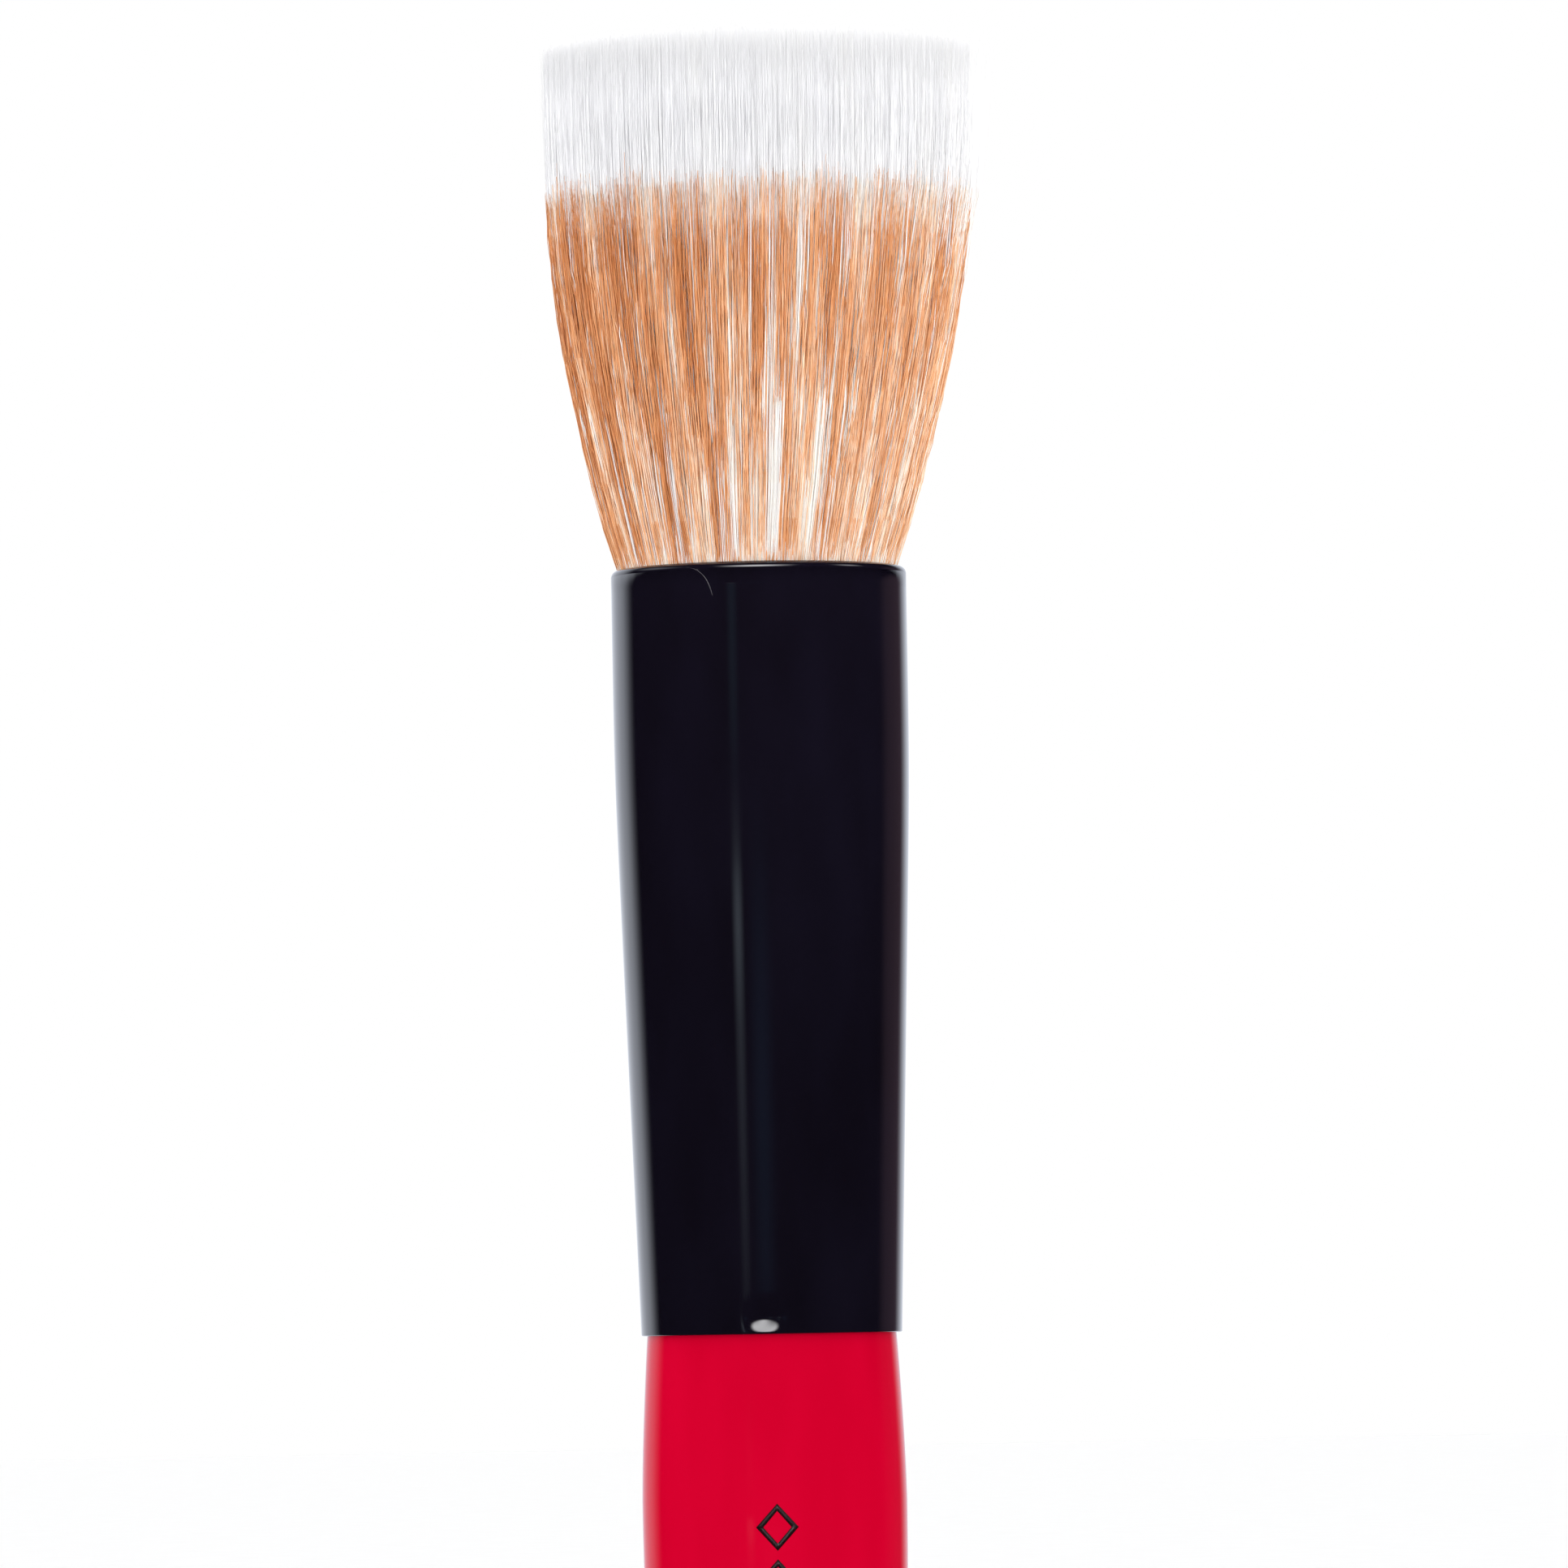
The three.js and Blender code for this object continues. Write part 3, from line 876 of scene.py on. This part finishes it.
def grow(kind, width, count, inner, outer, knots):
    """Turn, path, thickness and shade of each fibre of one kind in one ring. The thickness is even
    up to the taper's start, then falls in a line to its end at the tip.
    """
    share, turn = spiral_places(count, inner, outer)
    tip = white_lengths(count) if kind == "white" else copper_lengths(count, turn)
    paths = fibre_paths(kind, share, turn, tip, knots)
    above = paths[:, :, 2] - MOUTH
    along = np.clip(above / tip[:, None], 0, 1)
    start, end = TAPER_START[kind], TAPER_END[kind]
    taper = 1 - (1 - end) * np.clip((along - start) / (1 - start), 0, 1)
    thickness = width * rng.uniform(*WIDTH_SPREAD, (count, 1)) * taper
    return turn, paths, thickness, fibre_shade(kind, turn, above, along)


# %% Place every lock
LOCKS = 6


def place_locks(kind, ring, slot, material, grown):
    """Cuts what grew into slices of equal angle, one piece each."""
    turn, paths, thickness, shade = grown
    lock = np.floor((turn + np.pi) / (2 * np.pi) * LOCKS).astype(int) % LOCKS
    pieces = []
    for number in range(LOCKS):
        mine = lock == number
        name = f"{kind}_{ring}_lock_{number + 1}"
        pieces.append(place_fibres(name, slot, material, paths[mine], thickness[mine], shade[mine]))
    return pieces


DENSITY = 1.0
# For each kind and ring: the inner and outer share of the radius, the count of fibres, the knots
# of each, and its width.
RINGS = {
    "copper": {"outer": (0.87, 1.0, 9000, 10, 0.072 * MM), "inner": (0.0, 0.89, 4500, 4, 0.1 * MM)},
    "white": {"outer": (0.87, 1.0, 14000, 8, 0.052 * MM), "inner": (0.0, 0.89, 5600, 5, 0.1 * MM)},
}
FINISHES = {"copper": copper_finish, "white": white_finish}

for kind, rings in RINGS.items():
    for ring, (inner, outer, count, knots, width) in rings.items():
        grown = grow(kind, width, int(count * DENSITY), inner, outer, knots)
        for piece in place_locks(kind, ring, f"{kind}_fibre", FINISHES[kind], grown):
            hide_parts(f"{kind}_fibres")

# %% [markdown]
# ## A loose fibre
#
# No brush is perfectly clean: one short white fibre has come loose and lies curled on the
# enamel just under the mouth, held by static. It is a rod like the others, along an arc drawn
# on the barrel: turn and height follow a bent line, and the radius rests it on the metal.

# %% The fibre that lies on the ferrule
LOOSE_TURN = -120.0
LOOSE_SWEEP = 12.0
LOOSE_BOW = 2.0
LOOSE_TOP = MOUTH - 0.3 * MM
LOOSE_DROP = 2.1 * MM
LOOSE_WIDTH = 0.008 * MM
LOOSE_SHADE = 0.1


def loose_path():
    """Turn is start + sweep * share + bow * sin(pi * share), and height falls as share ** 1.8."""
    share = np.linspace(0, 1, 16)
    turn = np.radians(LOOSE_TURN + LOOSE_SWEEP * share + LOOSE_BOW * np.sin(np.pi * share))
    height = LOOSE_TOP - LOOSE_DROP * share**1.8
    radius = ferrule_radius(height) + LOOSE_WIDTH / 2
    return np.stack([radius * np.cos(turn), radius * np.sin(turn), height], axis=-1)[None]


loose = loose_path()
place_fibres("loose_fibre", "white_fibre", white_finish, loose,
             np.full(loose.shape[:2], LOOSE_WIDTH), np.full(loose.shape[:2], LOOSE_SHADE))

# %% [markdown]
# ## What the ferrule hides
#
# The resin plug, the tie and the glue sleeve keep their CAD shapes, because nothing about them
# is soft or seen. They still get a finish each, for anyone who lifts the ferrule off: amber
# resin with a cloudy depth, twisted cotton, and cream glue with small bubbles.

# %% Hidden finishes
def hidden_finish(name, dark, light, grain, depth, roughness):
    """Two colours mixed by noise, with bump from the same noise."""
    material, tree, shader = new_finish(name, Roughness=roughness)
    cloudy = noise(tree, grain, detail=4.0)
    colour = ramp(tree, cloudy, [(0.35, dark), (0.65, light)])
    tree.links.new(colour, shader.inputs["Base Color"])
    bumped(tree, shader, cloudy, 0.4, depth)
    return material


HIDDEN = {
    "root_epoxy": ("amber_resin", srgb(150, 104, 48), srgb(196, 154, 86),
                   (400, 400, 400), 0.02 * MM, 0.2),
    "binding_thread": ("cotton_thread", srgb(206, 198, 180), srgb(238, 233, 220),
                       (4000, 4000, 9000), 0.06 * MM, 0.85),
    "handle_adhesive": ("cured_glue", srgb(214, 204, 176), srgb(236, 229, 208),
                        (900, 900, 900), 0.04 * MM, 0.5),
}
for node, settings in HIDDEN.items():
    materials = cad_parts[node].data.materials
    materials.clear()
    materials.append(hidden_finish(*settings))
print("hidden nodes finished:", ", ".join(HIDDEN))

# %% [markdown]
# ## Light from all round
#
# The set is a white room: a pale floor, and soft light from everywhere. Glossy black under
# even white light would turn grey, so a studio hangs black cloth in front of it and leaves
# white only behind. The world does the same: rays that light the fibres find white all round,
# while mirror-like rays find a dark room with a few bright things in it. Each of those things
# is a patch of directions with soft edges, worked out from the way that a ray points.

# %% Patches of directions
def way(turn, lift):
    """A unit direction a turn to the right of the front and a lift above level, in degrees."""
    turn, lift = math.radians(turn), math.radians(lift)
    return (math.sin(turn) * math.cos(lift), -math.cos(turn) * math.cos(lift), math.sin(lift))


def toward(tree, facing, direction):
    """How far a ray points along a direction, from -1 to 1."""
    return add(tree, "ShaderNodeVectorMath", {0: facing, 1: direction},
               operation="DOT_PRODUCT").outputs["Value"]


def level_between(tree, value, low, high):
    """0 at low, 1 at high, and a smooth step between."""
    return add(tree, "ShaderNodeMapRange", {"Value": value, "From Min": low, "From Max": high},
               interpolation_type="SMOOTHSTEP").outputs[0]


def band(tree, value, middle, half):
    """1 where value is at middle, falling smoothly to 0 at half away from it."""
    return times(tree, level_between(tree, value, middle - half, middle),
                 level_between(tree, value, middle + half, middle))


def tinted(tree, value, colour):
    """A colour scaled by a value."""
    return add(tree, "ShaderNodeVectorMath", {0: colour, "Scale": value}, operation="SCALE").outputs[0]


def sum_of(tree, colours):
    """Colours added up one after another."""
    total = colours[0]
    for colour in colours[1:]:
        total = add(tree, "ShaderNodeVectorMath", {0: total, 1: colour}, operation="ADD").outputs[0]
    return total


# %% [markdown]
# ## What the gloss mirrors
#
# A wide white card behind the brush draws the pale edge on its left, and a dim one gives the
# right side a little warmth. Three panels overhead catch the ferrule's lip and the crimps. A
# narrow strip lamp left of the front draws the faint long streak down the ferrule. Real lamps
# would light the fibres too; as parts of the world, these show in mirror-like rays alone.

# %% Cards, panels and strips
# A card is round: its turn in degrees, how far a ray has to point along it where the card starts
# and where it is full, and its colour.
CARDS = (
    (191.5, 0.61, 0.86, (0.9, 0.95, 1.06)),
    (132, 0.9, 0.985, (0.11, 0.07, 0.09)),
)
# A panel is a rectangle: its turn, half width, lowest and highest lift in degrees, and its colour.
PANELS = (
    (-2, 24, 10, 52, (8.2, 8.2, 8.4)),
    (82, 12, 18, 45, (3.0, 3.0, 3.1)),
    (-98, 22, 18, 50, (0.9, 0.95, 1.05)),
)
PANEL_EDGE = 0.2
PANEL_SPREAD = 1.3
# A strip is a slit in the front: its turn in degrees, then as parts of a unit direction its half
# width, middle height and half height, and its colour.
STRIPS = (
    (-21.3, 0.1, -0.028, 0.01, (1.0, 1.2, 1.4)),
    (-21.3, 0.1, -0.042, 0.028, (0.16, 0.192, 0.224)),
    (-21.3, 0.1, 0.06, 0.07, (0.06, 0.12, 0.16)),
    (-4, 0.22, -0.045, 0.03, (0.04, 0.1, 0.18)),
)


# %% The room that gloss mirrors
def card(tree, facing, turn, edge, full):
    """A round, soft-edged patch about a level direction."""
    return level_between(tree, toward(tree, facing, way(turn, 0)), edge, full)


def panel(tree, facing, turn, half_turn, low, high):
    """A soft-edged rectangle, kept to its own side of the room."""
    half_width = PANEL_SPREAD * math.sin(math.radians(half_turn))
    beside = band(tree, toward(tree, facing, way(turn + 90, 0)), 0.0, half_width)
    up = toward(tree, facing, (0, 0, 1))
    start, end = math.sin(math.radians(low)), math.sin(math.radians(high))
    lifted = times(tree, level_between(tree, up, start, start + PANEL_EDGE),
                   level_between(tree, up, end, end - PANEL_EDGE))
    own_side = level_between(tree, toward(tree, facing, way(turn, (low + high) / 2)), 0.3, 0.5)
    return times(tree, times(tree, beside, lifted), own_side)


def strip(tree, facing, turn, half_width, height, half_height):
    """A narrow upright band, kept to the front of the room."""
    front = level_between(tree, toward(tree, facing, way(0, 0)), 0.0, 0.1)
    across = times(tree, band(tree, toward(tree, facing, way(turn + 90, 0)), 0.0, half_width), front)
    return times(tree, across, band(tree, toward(tree, facing, (0, 0, 1)), height, half_height))


def glossy_room(tree, facing):
    """Every card, panel and strip in its colour, added up over darkness."""
    patches = []
    for shape, rows in ((card, CARDS), (panel, PANELS), (strip, STRIPS)):
        for *sizes, colour in rows:
            patches.append(tinted(tree, shape(tree, facing, *sizes), colour))
    return sum_of(tree, patches)


# %% World
AMBIENT = 1.07


def studio_world():
    """White to the camera, even light to matt surfaces, and the glossy room to mirror-like rays."""
    world = bpy.data.worlds.new("studio")
    world.use_nodes = True
    world.cycles.sampling_method = "NONE"
    tree = world.node_tree
    tree.nodes.clear()
    ray = add(tree, "ShaderNodeLightPath")
    facing = add(tree, "ShaderNodeTexCoord").outputs["Generated"]
    plain = add(tree, "ShaderNodeMix", {"Factor": ray.outputs["Is Camera Ray"], "A": AMBIENT, "B": 1.0})
    level = add(tree, "ShaderNodeMix", {0: ray.outputs["Is Glossy Ray"], 6: plain.outputs[0],
                                        7: glossy_room(tree, facing)}, data_type="RGBA")
    shade = add(tree, "ShaderNodeBackground", {"Color": level.outputs[2], "Strength": 1.0})
    out = add(tree, "ShaderNodeOutputWorld")
    tree.links.new(shade.outputs[0], out.inputs[0])
    bpy.context.scene.world = world


studio_world()
bpy.context.scene.view_settings.view_transform = "Standard"
bpy.context.scene.cycles.diffuse_bounces = 12
bpy.context.scene.cycles.max_bounces = 16
print("patches that gloss mirrors:", len(CARDS) + len(PANELS) + len(STRIPS))

# %% [markdown]
# ## A pale floor
#
# The brush stands on its handle's end, so the floor lies at height 0. It is one big square of
# matt card, wide enough that its edge is never seen. The ferrule would mirror that edge as a
# hard line, so mirror-like rays don't see the floor.

# %% Floor
FLOOR_REACH = 9.0


def floor_finish():
    """Matt white card with the faintest mottling."""
    material, tree, shader = new_finish("white_card", Roughness=0.9)
    mottling = noise(tree, (60, 60, 60))
    colour = ramp(tree, mottling, [(0.3, (0.965, 0.965, 0.965, 1)), (0.7, (0.99, 0.99, 0.99, 1))])
    tree.links.new(colour, shader.inputs["Base Color"])
    return material


floor_corners = np.array([[-1, -1, 0], [1, -1, 0], [1, 1, 0], [-1, 1, 0]]) * FLOOR_REACH
floor_mesh = bpy.data.meshes.new("floor")
floor_mesh.from_pydata(floor_corners.tolist(), [], [(0, 1, 2, 3)])
floor_mesh.materials.append(floor_finish())
floor = bpy.data.objects.new("floor", floor_mesh)
bpy.context.scene.collection.objects.link(floor)
floor.visible_glossy = False
print("floor, m across:", 2 * FLOOR_REACH)

# %% [markdown]
# ## Lights on the head
#
# Deep between the fibres little of the room's light arrives, so the head looks duller than it
# is. A studio would add small lamps that light the head alone. Here seven soft spots stand in
# a ring round it, the strongest at the front, unseen by the camera and the gloss.

# %% Spots in a ring
HEAD_MIDDLE = Vector((0, 0, (MOUTH + WHITE_TIPS) / 2 + 4 * MM))
SPOT_DISTANCE = 0.3
SPOT_CONE = math.radians(17)
SPOT_BLEND = 0.4
SPOT_RADIUS = 0.02
# The turn to the right of the front and the lift of each spot, in degrees, and its watts.
SPOTS = (
    (4, 4, 1.4),
    (55, 8, 0.6),
    (-55, 8, 0.5),
    (105, 8, 0.6),
    (-105, 8, 0.6),
    (155, 8, 0.65),
    (-155, 8, 0.65),
)


def head_light(name, turn, lift, watts):
    """A soft spot that looks at the middle of the head from a turn and a lift."""
    toward_light = Vector(way(turn, lift))
    data = bpy.data.lights.new(name, "SPOT")
    data.energy = watts
    data.spot_size = SPOT_CONE
    data.spot_blend = SPOT_BLEND
    data.shadow_soft_size = SPOT_RADIUS
    light = bpy.data.objects.new(name, data)
    bpy.context.scene.collection.objects.link(light)
    light.location = HEAD_MIDDLE + toward_light * SPOT_DISTANCE
    light.rotation_euler = toward_light.to_track_quat("Z", "Y").to_euler()
    light.visible_glossy = False
    light.visible_camera = False


for number, spot in enumerate(SPOTS):
    head_light(f"head_light_{number + 1}", *spot)

# %% [markdown]
# ## The camera
#
# A long lens from 0.9 m away keeps the head and the handle nearly the same size. The camera
# stands level with the foot of the ferrule and looks up a little, and its small roll makes the
# brush lean. The lens follows from the height to be seen: sensor width times distance over it.

# %% Camera
VIEW_HEIGHT = 111.5 * MM
CAMERA_DISTANCE = 900 * MM
CAMERA_ROLL = math.radians(-1.02)
SENSOR_WIDTH = 36
target = Vector((1.55 * MM, 0, FOOT + 39.06 * MM))
stand = Vector((target.x, -CAMERA_DISTANCE, FOOT))
camera_data = bpy.data.cameras.new("camera")
camera = bpy.data.objects.new("camera", camera_data)
bpy.context.scene.collection.objects.link(camera)
looking = (target - stand).to_track_quat("-Z", "Y").to_matrix()
camera.location = stand
camera.rotation_euler = (looking @ Matrix.Rotation(CAMERA_ROLL, 3, "Z")).to_euler()
camera_data.sensor_width = SENSOR_WIDTH
camera_data.lens = SENSOR_WIDTH * (target - stand).length / VIEW_HEIGHT
camera_data.clip_start = 0.05
camera_data.clip_end = 40
bpy.context.scene.camera = camera
print("lens, mm:", round(camera_data.lens))
